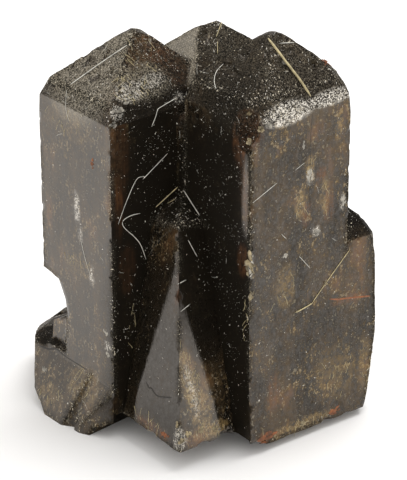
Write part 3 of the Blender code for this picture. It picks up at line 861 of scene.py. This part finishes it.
def strewn_points(n, given, density):
    """Points on the skin's faces, with the normal and the rotation of the face below each."""
    made = n.node(
        "GeometryNodeDistributePointsOnFaces", {"distribute_method": "RANDOM"},
        {"Mesh": given["Surface"], "Density": density, "Seed": given["Seed"]})
    return [Value(n.tree, made.outputs[name]) for name in ("Points", "Normal", "Rotation")]


def placed(n, points, shape, lying, spin, stretch, size):
    """A shape on every point, spun on its face and scaled, as real geometry."""
    turned = n.value(
        "FunctionNodeRotateRotation", 0, {"rotation_space": "LOCAL"}, {0: lying, 1: spin})
    scale = n.value("ShaderNodeVectorMath", 0, {"operation": "SCALE"}, {0: stretch, "Scale": size})
    copies = n.value(
        "GeometryNodeInstanceOnPoints", 0, None,
        {"Points": points, "Instance": shape, "Rotation": turned, "Scale": scale})
    return n.value("GeometryNodeRealizeInstances", 0, None, {0: copies})


def finish_group(n, end, geometry, material):
    """Close a tree with its realized and painted geometry."""
    solid = n.value("GeometryNodeRealizeInstances", 0, None, {0: geometry})
    done = n.value("GeometryNodeSetMaterial", 0, None, {"Geometry": solid, "Material": material})
    n.feed(end.inputs[0], done)
    return n.tree


def grow_on_skin(name, tree, settings, material):
    """Run a scattering tree over a copy of the skin, and keep its result as a plain mesh."""
    skin = bpy.data.objects.get("crystals")
    if skin is None:
        raise RuntimeError("the crystals come before what lies on them")
    carrier = new_object(name + "_carrier", skin.data.copy())
    modifier = carrier.modifiers.new("scatter", "NODES")
    modifier.node_group = tree
    for item in tree.interface.items_tree:
        if item.item_type == "SOCKET" and item.in_out == "INPUT" and item.name in settings:
            modifier[item.identifier] = settings[item.name]
    made = plain_object(carrier, name, material)
    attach(made, BODY)


def scatter_tree(name, mask, material, flat, stone_kind):
    """Small stones on the skin, as dense as one of its attributes says, and crowded in places."""
    n, given, end = new_group(name, {
        "Density": 1.0, "Smallest": 0.01 * MM, "Largest": 0.03 * MM, "Clumping": 700.0, "Seed": 0})
    clumps = n.value("ShaderNodeTexNoise", 0, None, {"Scale": given["Clumping"], "Detail": 3.0})
    crowd = clumps.rise(0.4, 0.65) ** 1.5 * 2.6 + 0.25
    density = given["Density"] * skin_attribute(n, mask) * crowd
    points, _, lying = strewn_points(n, given, density)
    spin = n.random_vector((-0.5, -0.5, 0.0), (0.5, 0.5, 6.28), given["Seed"])
    pick = n.random_number(given["Seed"] + 5)
    size = given["Smallest"] + (given["Largest"] - given["Smallest"]) * pick ** 4.0
    shape = n.random_vector((0.6, 0.4, 0.3 * flat), (2.2, 0.9, 0.7 * flat), given["Seed"] + 9)
    if stone_kind == "shard":
        stone = n.value(
            "GeometryNodeMeshUVSphere", 0, None, {"Segments": 4, "Rings": 2, "Radius": 1.2})
    else:
        stone = n.value("GeometryNodeMeshIcoSphere", 0, None, {"Radius": 1.0, "Subdivisions": 1})
    return finish_group(n, end, placed(n, points, stone, lying, spin, shape, size), material)


def lint_tree(name, material, upright):
    """Short bent hairs on the skin, lying any way, or up the crystals if they are upright."""
    n, given, end = new_group(name, {
        "Density": 1.0, "Shortest": 0.2 * MM, "Longest": 0.6 * MM, "Thickness": 0.01 * MM,
        "Seed": 0})
    density = given["Density"] * skin_attribute(n, "ochre" if upright else "dust")
    points, normal, lying = strewn_points(n, given, density)
    swing = math.pi
    if upright:
        swing = NEEDLE_SWING
        facing = n.value("FunctionNodeAlignRotationToVector", 0, {"axis": "Z"}, {"Vector": normal})
        lying = n.value(
            "FunctionNodeAlignRotationToVector", 0, {"axis": "X", "pivot_axis": "Z"},
            {"Rotation": facing, "Vector": (0.0, 0.0, 1.0)})
    spin = n.random_vector((0.0, -0.06, -swing), (0.0, 0.06, swing), given["Seed"] + 3)
    pick = n.random_number(given["Seed"] + 7)
    length = given["Shortest"] + (given["Longest"] - given["Shortest"]) * pick ** 2.0
    bow = n.random_vector((1.0, -1.0, 1.0), (1.0, 1.0, 1.0), given["Seed"] + 13)
    arc = n.value(
        "GeometryNodeCurveQuadraticBezier", 0, None,
        {"Resolution": 5, "Start": (-0.5, 0.0, 0.0), "Middle": (0.0, 0.16, 0.0),
         "End": (0.5, 0.0, 0.0)})
    ring = n.value(
        "GeometryNodeCurvePrimitiveCircle", 0, None,
        {"Resolution": 4, "Radius": given["Thickness"]})
    tubes = n.value("GeometryNodeCurveToMesh", 0, None, {
        "Curve": placed(n, points, arc, lying, spin, bow, length), "Profile Curve": ring,
        "Fill Caps": True})
    return finish_group(n, end, tubes, material)


def laid_path(stuff, width, points, surface):
    """A fibre's line, bent smoothly through its points, just clear of the surface below it."""
    knots = []
    facing = Vector((0.0, 0.0, 0.0))
    for point in points:
        spot, normal, _, _ = surface.find_nearest(Vector(point))
        knots.append(spot)
        facing += normal
    facing.normalize()
    knots = [2 * knots[0] - knots[1], *knots, 2 * knots[-1] - knots[-2]]
    line = []
    for number in range(1, len(knots) - 2):
        a, b, c, d = knots[number - 1:number + 3]
        steps = max(4, int((c - b).length / STRIDE))
        for step in range(steps + (number == len(knots) - 3)):
            t = step / steps
            line.append(0.5 * (2 * b + (c - a) * t + (2 * a - 5 * b + 4 * c - d) * t * t
                               + (3 * b - a - 3 * c + d) * t ** 3))
    if stuff in ("crack", "rust"):
        return [point - 0.3 * width * facing for point in line]
    sunk = []
    for point in line:
        spot, normal, _, _ = surface.find_nearest(point)
        sunk.append(max(0.0, (spot - point).dot(normal)))
    raised = []
    for number, point in enumerate(line):
        near = sunk[max(number - 3, 0):number + 4]
        lift = 0.5 * max(near) + 0.5 * sum(near) / len(near)
        raised.append(point + (min(lift, MOST_LIFT) + 0.42 * width) * facing)
    return raised


def add_flakes(mesh, centre, size, surface, seed):
    """A crowd of irregular chips, half sunk in the face that carries them."""
    luck = random.Random(seed)
    spot, normal, _, _ = surface.find_nearest(Vector(centre))
    sideways = Vector((-normal.y, normal.x, 0.0))
    sideways = sideways.normalized() if sideways.length > 0.1 else Vector((1.0, 0.0, 0.0))
    upwards = normal.cross(sideways)
    deep, wide, tall = size
    for _ in range(CHIPS_IN_FLAKE):
        turn = luck.uniform(0, 2 * math.pi)
        reach = luck.uniform(0.0, 0.85) ** 0.7
        middle = spot + reach * (wide * math.cos(turn) * sideways + tall * math.sin(turn) * upwards)
        middle, facing, _, _ = surface.find_nearest(middle)
        share = luck.uniform(0.18, 0.42)
        shape = Matrix.Diagonal((deep * luck.uniform(0.5, 1.0), wide * share, tall * share))
        axes = Matrix((facing, sideways, facing.cross(sideways))).transposed()
        spin = Matrix.Rotation(luck.uniform(-0.6, 0.6), 3, facing)
        made = bmesh.ops.create_icosphere(mesh, subdivisions=1, radius=1.0)
        for corner in made["verts"]:
            jag = luck.uniform(0.75, 1.25)
            corner.co = (middle + spin @ axes @ shape @ (corner.co * jag)) * MM


def add_tube(mesh, line, width, sides=6):
    """A closed tube along a line, tapered at both ends."""
    rings = []
    for number, point in enumerate(line):
        before = line[max(number - 1, 0)]
        after = line[min(number + 1, len(line) - 1)]
        ahead = (after - before).normalized()
        side = ahead.cross(Vector((0.31, 0.17, 0.93))).normalized()
        top = ahead.cross(side)
        from_end = min(number, len(line) - 1 - number) / (len(line) - 1)
        radius = 0.5 * width * min(1.0, 0.45 + 6 * from_end)
        rings.append([
            mesh.verts.new((point + radius * (math.cos(turn) * side + math.sin(turn) * top)) * MM)
            for turn in (2 * math.pi * step / sides for step in range(sides))])
    for first, second in zip(rings, rings[1:]):
        for step in range(sides):
            after = (step + 1) % sides
            mesh.faces.new((first[step], first[after], second[after], second[step]))
    mesh.faces.new(rings[0][::-1])
    mesh.faces.new(rings[-1])


def colour_setting(name, description, default):
    """A colour of the panel."""
    return FloatVectorProperty(
        name=name, description=description, subtype="COLOR", default=default, min=0.0, max=1.0)


def length_setting(name, description, default, least=0.0):
    """A length of the panel, in metres."""
    return FloatProperty(
        name=name, description=description, unit="LENGTH", precision=6, default=default, min=least)


def number_setting(name, description, default, least=0.0, most=10000.0):
    """A plain number of the panel."""
    return FloatProperty(name=name, description=description, default=default, min=least, max=most)


class CrystalSettings(PropertyGroup):
    """Colours, gloss and relief of the crystals' skin."""
    spacing: length_setting(
        "Mesh spacing", "Longest edge of the skin's mesh on the caps", 0.2 * MM, 0.1 * MM)
    relief: number_setting(
        "Relief", "How strong the growth steps, etching and wear are", 1.0, most=2.0)
    bump_depth: length_setting(
        "Grain depth", "Depth of the finest etching and of the striations", 0.045 * MM)
    refraction: number_setting(
        "Refraction", "Index of refraction, which sets how strongly the faces reflect",
        1.9, 1.0, 4.0)
    gloss_roughness: number_setting(
        "Gloss roughness", "Roughness of the clean prism faces", 0.06, most=1.0)
    gloss_colour: colour_setting("Gloss", "Tint of the reflections", (1.0, 0.92, 0.84))
    body_colour: colour_setting(
        "Body", "Colour of the clear dark crystal", (0.007, 0.0055, 0.0035))
    brown_colour: colour_setting("Brown", "Colour of the brown clouds", (0.064, 0.042, 0.021))
    ochre_colour: colour_setting("Ochre", "Colour of the ochre film", (0.28, 0.19, 0.08))
    ember_colour: colour_setting(
        "Ember", "Colour of the red-brown glow under thin faces", (0.15, 0.062, 0.024))
    etched_colour: colour_setting(
        "Etched", "Colour of the etched caps and bands", (0.035, 0.027, 0.018))
    # This is also the colour of the painted sheen on the caps, of worn specks and of scuffs
    pale_and_sheen_colour: colour_setting("Pale", "Colour of the pale etch marks", (0.3, 0.265, 0.2))
    # This is also the colour of the painted glints on the left crystal's cap
    frost_and_glint_colour: colour_setting(
        "Frost", "Colour of the crushed, frosted places", (0.84, 0.79, 0.7))


class ClingingSettings(PropertyGroup):
    """Sizes, numbers and colours of what clings to the crystals."""
    dust_density: number_setting("Dust", "Specks of dust on a square millimetre", 12.0)
    dust_smallest: length_setting("Smallest speck", "Radius of the smallest speck", 0.006 * MM)
    dust_largest: length_setting("Largest speck", "Radius of the largest speck", 0.04 * MM)
    grain_density: number_setting(
        "Grains", "Crumbs on a square millimetre of a fully worn place", 56.0)
    grain_smallest: length_setting("Smallest grain", "Radius of the smallest crumb", 0.01 * MM)
    grain_largest: length_setting("Largest grain", "Radius of the largest crumb", 0.05 * MM)
    lint_density: number_setting("Lint", "Short hairs on a square millimetre", 0.16)
    needle_density: number_setting(
        "Needles", "Golden needles on a square millimetre of ochre film", 15.0)
    seed: IntProperty(name="Seed", description="Changes where everything lies", default=7, min=0)
    dust_colour: colour_setting("Dust colour", "Colour of the dust", (0.72, 0.68, 0.6))
    grain_colour: colour_setting("Grain colour", "Colour of the crumbs", (0.62, 0.55, 0.42))
    silk_colour: colour_setting("Silk colour", "Colour of the white threads", (0.8, 0.78, 0.7))
    straw_colour: colour_setting(
        "Straw colour", "Colour of the golden threads and needles", (0.56, 0.47, 0.26))
    crack_colour: colour_setting(
        "Crack colour", "Colour of the dirt in the cracks", (0.02, 0.015, 0.01))
    bone_colour: colour_setting(
        "Bone colour", "Colour of the pale yellow chips", (0.42, 0.34, 0.2))
    chalk_colour: colour_setting(
        "Chalk colour", "Colour of the pale grey chips", (0.4, 0.37, 0.31))
    rust_colour: colour_setting(
        "Rust colour", "Colour of the orange chips and the orange streak", (0.28, 0.09, 0.025))


class StageSettings(PropertyGroup):
    """Floor, light and camera."""
    floor_size: length_setting("Floor size", "Side of the floor", 1.2)
    floor_colour: colour_setting("Floor colour", "Colour of the floor", (0.95, 0.945, 0.94))
    sky_colour: colour_setting("Sky colour", "Colour of the surroundings", (1.0, 0.985, 0.965))
    sky_strength: number_setting("Sky", "Brightness of the white surroundings", 1.0)
    lamp_power: number_setting("Lamp", "Power of the soft lamp in watts", 0.35)
    lamp_size: length_setting("Lamp size", "Side of the soft lamp", 0.16)
    camera_aim: FloatVectorProperty(
        name="Aim", description="Point that the camera looks at", subtype="TRANSLATION",
        default=(0.0, -0.0046, 0.01289))
    camera_distance: length_setting("Distance", "From the camera to its aim", 0.1376)
    camera_pitch: FloatProperty(
        name="Pitch", description="How far the camera looks down", default=math.radians(26),
        subtype="ANGLE")
    camera_lens: number_setting("Lens", "Focal length in millimetres on a 36 mm sensor", 201.2, 1.0)


class CLUSTER_OT_crystals(Operator):
    """Lay the crystals' skin over the solid"""
    bl_idname = "cluster.crystals"
    bl_label = "Crystals"

    def execute(self, context):
        look = context.scene.cluster_crystals
        data = make_skin(look.spacing / MM, look.relief)
        data.materials.clear()
        data.materials.append(crystal_material(look))
        skin = new_object("crystals", data)
        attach(skin, BODY)
        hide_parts(NODE)
        return {"FINISHED"}


class CLUSTER_OT_grains(Operator):
    """Strew crumbs over the worn edges and frosted places"""
    bl_idname = "cluster.grains"
    bl_label = "Grains"

    def execute(self, context):
        look = context.scene.cluster_clinging
        material = grain_material("pale_grains", look.grain_colour, 0.55, 0.45)
        tree = scatter_tree("grain_scatter", "grit", material, 1.0, "crumb")
        grow_on_skin("grains", tree, {
            "Density": look.grain_density / MM ** 2, "Smallest": look.grain_smallest,
            "Largest": look.grain_largest, "Seed": look.seed}, material)
        return {"FINISHED"}


class CLUSTER_OT_dust(Operator):
    """Strew dust over all the faces"""
    bl_idname = "cluster.dust"
    bl_label = "Dust"

    def execute(self, context):
        look = context.scene.cluster_clinging
        material = grain_material("white_dust", look.dust_colour, 0.6, 0.55)
        tree = scatter_tree("dust_scatter", "dust", material, 0.6, "shard")
        grow_on_skin("dust", tree, {
            "Density": look.dust_density / MM ** 2, "Smallest": look.dust_smallest,
            "Largest": look.dust_largest, "Seed": look.seed + 20}, material)
        return {"FINISHED"}


class CLUSTER_OT_lint(Operator):
    """Strew short hairs and golden needles over the faces"""
    bl_idname = "cluster.lint"
    bl_label = "Lint and needles"

    def execute(self, context):
        look = context.scene.cluster_clinging
        silk = thread_material("silk_lint", look.silk_colour)
        straw = thread_material("golden_needles", look.straw_colour)
        kinds = (
            ("lint", silk, False, look.lint_density, HAIR_LENGTHS, HAIR_THICKNESS, 40),
            ("needles", straw, True, look.needle_density, NEEDLE_LENGTHS, NEEDLE_THICKNESS, 60),
        )
        for name, material, upright, density, lengths, thickness, seed_step in kinds:
            grow_on_skin(name, lint_tree(name + "_scatter", material, upright), {
                "Density": density / MM ** 2, "Shortest": lengths[0] * MM,
                "Longest": lengths[1] * MM, "Thickness": thickness * MM,
                "Seed": look.seed + seed_step}, material)
        return {"FINISHED"}


class CLUSTER_OT_fibres(Operator):
    """Lay the long threads, cracks and streaks where they rest on the crystals"""
    bl_idname = "cluster.fibres"
    bl_label = "Fibres"

    def execute(self, context):
        look = context.scene.cluster_clinging
        surface = surface_tree()
        for stuff, fibres in FIBRES.items():
            mesh = bmesh.new()
            for width, points in fibres:
                add_tube(mesh, laid_path(stuff, width, points, surface), width)
            bmesh.ops.recalc_face_normals(mesh, faces=mesh.faces)
            material = thread_material(stuff + "_thread", getattr(look, stuff + "_colour"))
            add_clinging(stuff + "_fibres", mesh, material, smooth=True)
        return {"FINISHED"}


class CLUSTER_OT_flakes(Operator):
    """Stick the larger chips to the faces and edges"""
    bl_idname = "cluster.flakes"
    bl_label = "Flakes"

    def execute(self, context):
        look = context.scene.cluster_clinging
        surface = surface_tree()
        for stuff in ("bone", "chalk", "rust"):
            mesh = bmesh.new()
            for seed, (kind, centre, size) in enumerate(FLAKES):
                if kind == stuff:
                    add_flakes(mesh, centre, size, surface, seed)
            material = grain_material(stuff + "_flake", getattr(look, stuff + "_colour"), 0.3, 0.45)
            add_clinging(stuff + "_flakes", mesh, material, smooth=False)
        return {"FINISHED"}


def floor_material(colour):
    """Matt white paper."""
    r = Recipe("floor_paper")
    tooth = r.noise(r.place(), 0.9, 3.0, 0.5)
    return r.finish(r.principled(
        colour, 0.85 + tooth * 0.1, r.bump(tooth, 0.00001, 0.2), PAPER_REFRACTION))


def aim_at(item, place, target):
    """Put an object at a place, with its -Z towards a target."""
    item.location = place
    item.rotation_mode = "QUATERNION"
    item.rotation_quaternion = (Vector(target) - Vector(place)).to_track_quat("-Z", "Y")


class CLUSTER_OT_stage(Operator):
    """Set the floor, the light and the camera"""
    bl_idname = "cluster.stage"
    bl_label = "Stage"

    def execute(self, context):
        look = context.scene.cluster_stage
        scene = context.scene
        half = look.floor_size / 2
        corners = [(-half, -half, 0), (half, -half, 0), (half, half, 0), (-half, half, 0)]
        data = bpy.data.meshes.new("floor")
        data.from_pydata(corners, [], [(0, 1, 2, 3)])
        data.materials.append(floor_material(look.floor_colour))
        floor = new_object("floor", data)

        world = bpy.data.worlds.new("white_room")
        world.use_nodes = True
        world.node_tree.nodes.clear()
        room = Nodes(world.node_tree)
        sky = room.value(
            "ShaderNodeBackground", 0, None,
            {"Color": opaque(look.sky_colour), "Strength": look.sky_strength})
        room.node("ShaderNodeOutputWorld", None, {"Surface": sky})
        scene.world = world

        lamp = bpy.data.lights.new("soft_lamp", "AREA")
        lamp.shape = "SQUARE"
        lamp.size = look.lamp_size
        lamp.energy = look.lamp_power
        aim_at(new_object("soft_lamp", lamp), LAMP_PLACE, LAMP_AIM)

        camera = bpy.data.cameras.new("camera")
        camera.lens = look.camera_lens
        camera.sensor_width = 36.0
        camera.clip_start = 0.01
        camera.clip_end = 10.0
        view = new_object("camera", camera)
        back = Vector((0.0, -math.cos(look.camera_pitch), math.sin(look.camera_pitch)))
        aim = Vector(look.camera_aim)
        aim_at(view, aim + back * look.camera_distance, aim)
        scene.camera = view
        scene.view_settings.view_transform = "Standard"
        return {"FINISHED"}


OPERATORS = (
    CLUSTER_OT_crystals, CLUSTER_OT_flakes, CLUSTER_OT_grains, CLUSTER_OT_dust, CLUSTER_OT_lint,
    CLUSTER_OT_fibres, CLUSTER_OT_stage,
)
SETTINGS = {
    "cluster_crystals": CrystalSettings,
    "cluster_clinging": ClingingSettings,
    "cluster_stage": StageSettings,
}


class CLUSTER_PT_panel(Panel):
    """The cluster's pieces and settings."""
    bl_idname = "CLUSTER_PT_panel"
    bl_label = "Crystal cluster"
    bl_space_type = "VIEW_3D"
    bl_region_type = "UI"
    bl_category = "Crystals"

    def draw(self, context):
        for operator in OPERATORS:
            self.layout.operator(operator.bl_idname)
        for name, group in SETTINGS.items():
            box = self.layout.box()
            for label in group.__annotations__:
                box.prop(getattr(context.scene, name), label)


def register():
    for group in SETTINGS.values():
        bpy.utils.register_class(group)
    for operator in OPERATORS:
        bpy.utils.register_class(operator)
    bpy.utils.register_class(CLUSTER_PT_panel)
    for name, group in SETTINGS.items():
        setattr(bpy.types.Scene, name, PointerProperty(type=group))


def unregister():
    for name in SETTINGS:
        delattr(bpy.types.Scene, name)
    bpy.utils.unregister_class(CLUSTER_PT_panel)
    for operator in reversed(OPERATORS):
        bpy.utils.unregister_class(operator)
    for group in SETTINGS.values():
        bpy.utils.unregister_class(group)


def main():
    """Make every piece in order."""
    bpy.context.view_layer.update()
    register()
    bpy.ops.cluster.crystals()
    bpy.ops.cluster.flakes()
    bpy.ops.cluster.grains()
    bpy.ops.cluster.dust()
    bpy.ops.cluster.lint()
    bpy.ops.cluster.fibres()
    bpy.ops.cluster.stage()


if __name__ == "__main__":
    main()
